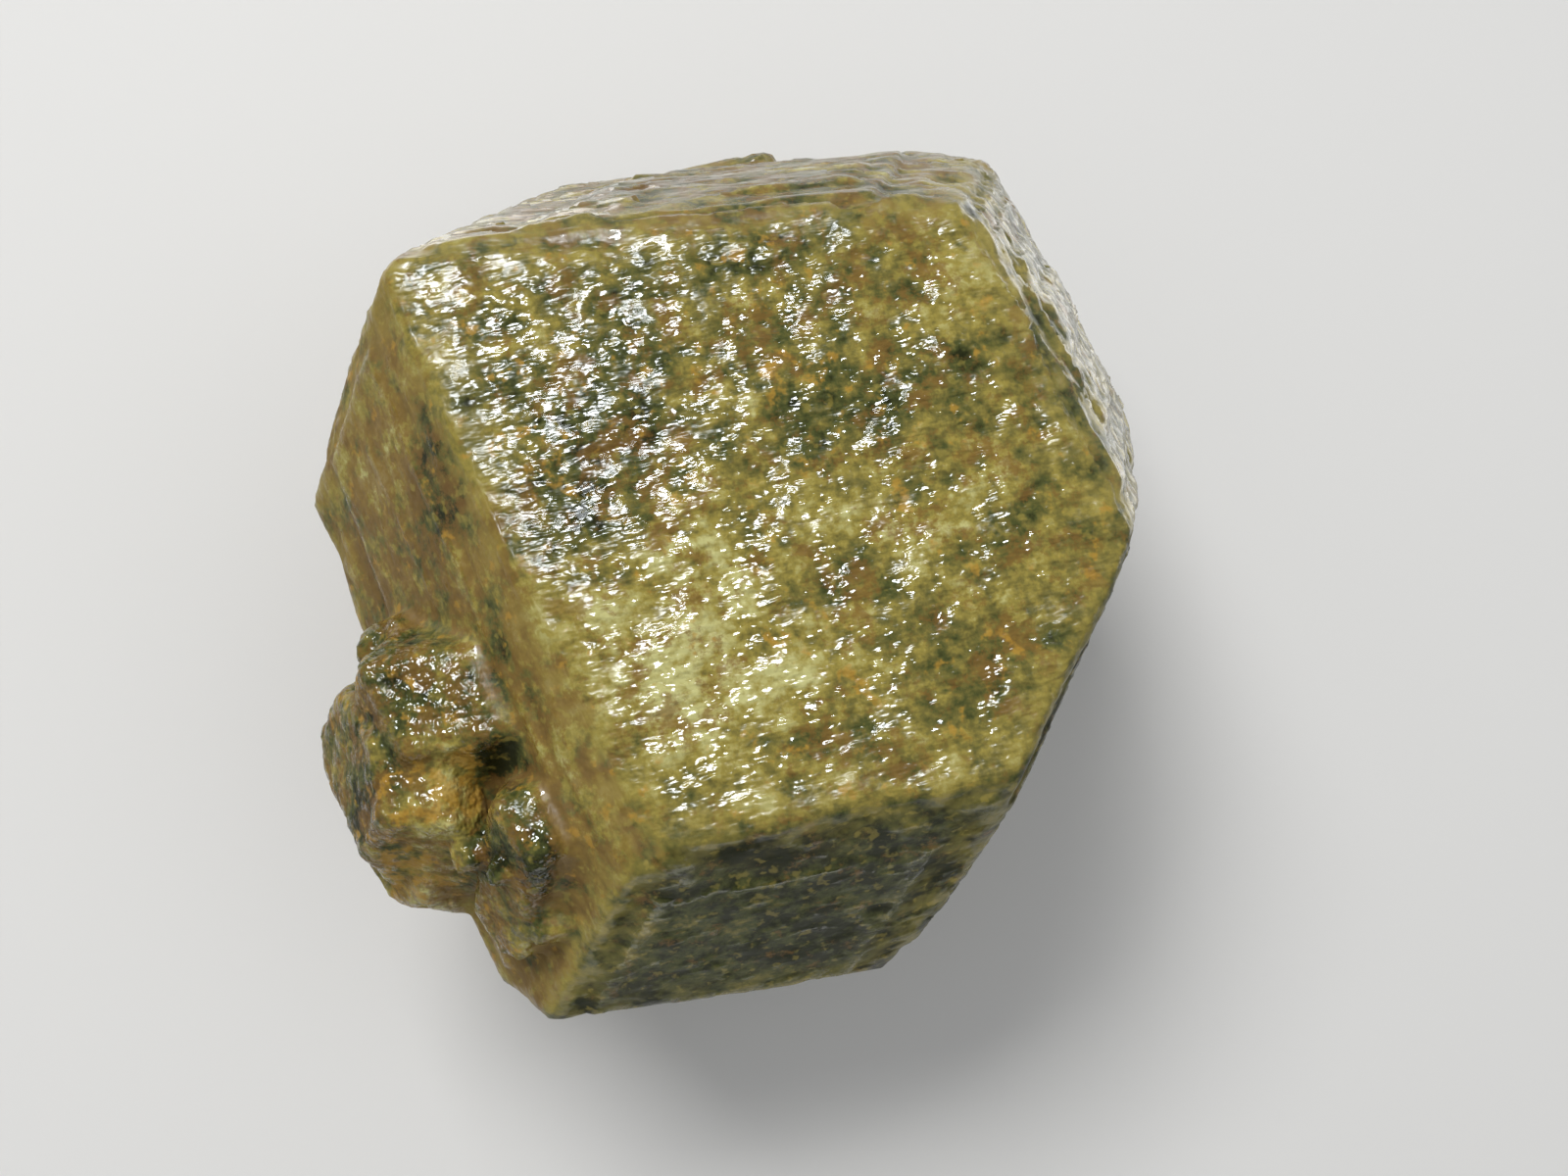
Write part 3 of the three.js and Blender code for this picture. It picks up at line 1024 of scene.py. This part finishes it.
    def note_grain(self, mesh: bpy.types.Mesh, measured: Measured) -> None:
        """Notes the coordinates along each face's grain, in millimetres, at the corners of the triangles.

        Args:
            mesh: the mesh.
            measured: its vertices, measured.
        """
        corners = np.empty(len(mesh.loops), np.int32)
        mesh.loops.foreach_get("vertex_index", corners)
        own = measured.over.argmax(axis=1)[corners].reshape(-1, 3)
        chosen = np.repeat(own.max(axis=1), 3)  # one face for all three corners, so that no triangle is torn
        streaked = np.array([face.growth is Growth.STREAKED for face in FACES.values()])
        grains = np.array([face.grain() for face in FACES.values()])
        place = np.einsum("nij,nj->ni", grains[chosen], measured.points[corners])
        place[:, 0] *= np.where(streaked, self.squeeze_streaked, self.squeeze)[chosen]
        place += chosen[:, None] * self.grain_gap
        attribute = mesh.attributes.new("grain", "FLOAT_VECTOR", "CORNER")
        attribute.data.foreach_set("vector", place.astype(np.float32).ravel())

    def build(self, solid: bpy.types.Object, low: Vector, high: Vector) -> bpy.types.Object:
        """Makes the piece.

        Args:
            solid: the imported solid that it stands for.
            low: the lowest corner of the solid's box.
            high: the highest corner of that box.

        Returns:
            The finished piece.
        """
        piece = self.copy_of_solid(solid)
        self.refine(piece)
        self.raise_relief(piece)
        self.trim(piece, low, high)
        self.note(piece)
        select_only(piece)
        bpy.ops.object.shade_smooth()
        piece.data.materials.append(self.finish.material())
        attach(piece, "root")
        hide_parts(NODE)
        return piece


class Lit(Enum):
    """What a light is for: the glints on the glossy film, or the body of the stone and the floor."""

    GLINTS = "glints"
    BODY = "body"


@dataclass(frozen=True)
class Softbox:
    """A soft light: where it hangs from the crystal, its size, power and tint. Lengths are in metres."""

    name: str
    lit: Lit
    azimuth: float
    elevation: float
    distance: float
    width: float
    height: float
    watts: float
    tint: tuple[float, float, float] = (1, 1, 1)

    def hang(self) -> None:
        """Hangs the light, facing the crystal."""
        away = aimed(self.azimuth, self.elevation)
        bpy.ops.object.light_add(type="AREA", location=MIDDLE + away * self.distance)
        lamp = bpy.context.object
        lamp.name = self.name
        lamp.rotation_euler = away.to_track_quat("Z", "Y").to_euler()
        lamp.data.shape = "RECTANGLE"
        lamp.data.size = self.width
        lamp.data.size_y = self.height
        lamp.data.energy = self.watts
        lamp.data.color = self.tint
        lamp.visible_camera = False
        lamp.visible_diffuse = self.lit is Lit.BODY
        lamp.visible_glossy = self.lit is Lit.GLINTS


@dataclass(frozen=True)
class Studio:
    """The floor, the lights and the camera. Lengths are in metres, and the lens and sensor in millimetres."""

    floor_side: float = 4.0
    floor_colour: Colour = paint(222, 221, 218)
    floor_cloud: Colour = (0.5, 0.5, 0.5, 1)
    floor_clouds: Mottle = Mottle(6, 3, 0.5, 0.2, 0.8, 0.04)
    floor_roughness: float = 0.7
    air_colour: Colour = paint(238, 240, 244)
    air_strength: float = 0.45
    camera_place: Vector = MIDDLE + Vector((-8.38, -27.9, 121.13)) * MM
    sight: Vector = Vector((0.0899, 0.1899, -0.9777))
    upright: Vector = Vector((0.1188, 0.9726, 0.1998))
    lens: float = 36.0
    sensor: float = 36.0
    nearest: float = 0.001
    lights: tuple[Softbox, ...] = (
        Softbox("key_light", Lit.BODY, 120, 60, 0.6, 0.3, 0.2, 2.6),
        Softbox("fill_light", Lit.BODY, -20, 60, 0.9, 0.6, 0.6, 0.8),
        Softbox("sparkle_light", Lit.GLINTS, 119, 62.5, 0.6, 0.16, 0.15, 13, (0.9, 0.95, 1)),
        Softbox("south_card", Lit.GLINTS, -87, -3, 0.1, 0.12, 0.02, 0.02),
        Softbox("east_card", Lit.GLINTS, 18, -3, 0.087, 0.1, 0.046, 0.022),
        Softbox("north_card", Lit.GLINTS, 125, -11.5, 0.087, 0.1, 0.022, 0.014),
    )

    def lay_floor(self) -> None:
        """Lays the pale floor, which takes no gloss, so that the glints' lights don't show on it."""
        bpy.ops.mesh.primitive_plane_add(size=self.floor_side)
        floor = bpy.context.object
        floor.name = "floor"
        bench = Bench("pale_floor")
        clouds = bench.noise(bench.place(), self.floor_clouds).marked(self.floor_clouds)
        colour = bench.mixed(clouds, self.floor_colour, self.floor_cloud)
        finish = {"Base Color": colour, "Roughness": self.floor_roughness, "Specular IOR Level": 0}
        floor.data.materials.append(bench.finished(finish))
        floor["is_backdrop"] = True

    def fill_air(self) -> None:
        """Gives the room its even light."""
        world = bpy.data.worlds.new("studio")
        world.use_nodes = True
        air = world.node_tree.nodes["Background"]
        air.inputs["Color"].default_value = self.air_colour
        air.inputs["Strength"].default_value = self.air_strength
        bpy.context.scene.world = world

    def set_camera(self) -> None:
        """Sets the camera at the photograph's viewing angle."""
        bpy.ops.object.camera_add()
        camera = bpy.context.object
        camera.name = "camera"
        camera.data.lens = self.lens
        camera.data.sensor_width = self.sensor
        camera.data.clip_start = self.nearest
        right = self.sight.cross(self.upright).normalized()
        up = right.cross(self.sight)
        pose = Matrix((right, up, -self.sight)).transposed().to_4x4()
        pose.translation = self.camera_place
        camera.matrix_world = pose
        bpy.context.scene.camera = camera

    def build(self) -> None:
        """Builds the studio."""
        self.lay_floor()
        self.fill_air()
        for light in self.lights:
            light.hang()
        self.set_camera()
        bpy.context.scene.view_settings.view_transform = "Standard"


def main() -> None:
    """Loads the frame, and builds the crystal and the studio."""
    logging.basicConfig(level=logging.INFO, format="%(message)s")
    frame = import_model()
    low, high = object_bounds()
    garnet = GarnetCrystal().build(frame["nodes"][NODE], low, high)
    log.info("%s: %d triangles", garnet.name, len(garnet.data.polygons))
    studio = Studio()
    studio.build()
    log.info("studio: floor, camera and %d lights", len(studio.lights))
    log.info("boxes written")


if __name__ == "__main__":
    main()
